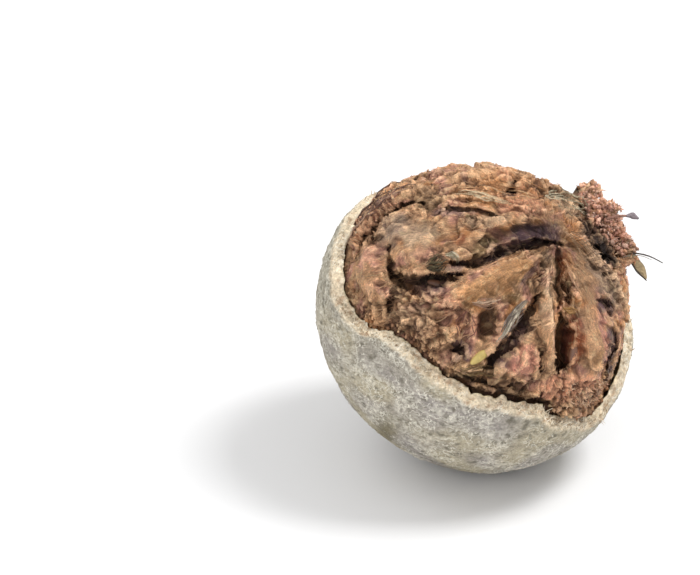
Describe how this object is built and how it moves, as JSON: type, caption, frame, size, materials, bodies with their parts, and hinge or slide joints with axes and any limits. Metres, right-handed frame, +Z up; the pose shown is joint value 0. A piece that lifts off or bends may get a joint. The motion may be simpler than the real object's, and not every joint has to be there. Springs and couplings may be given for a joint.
{
  "type": "wood apple",
  "caption": "Wood apple cracked open: a hard round half shell with a ragged broken rim, holding a whole ball of lumpy, stringy brown pulp.",
  "frame": {"origin": "middle of the small flat spot on the shell that the fruit rests on", "axes": "+Z up, out of the surface it rests on; -Y towards the open side that shows the pulp; +X to the right as seen from that side"},
  "size_m": [0.0883, 0.0796, 0.0792],
  "materials": {
    "shell": "matte",
    "pulp": "matte"
  },
  "bodies": {
    "root": {"shell": "shell", "pulp": "pulp"}
  },
  "joints": []
}
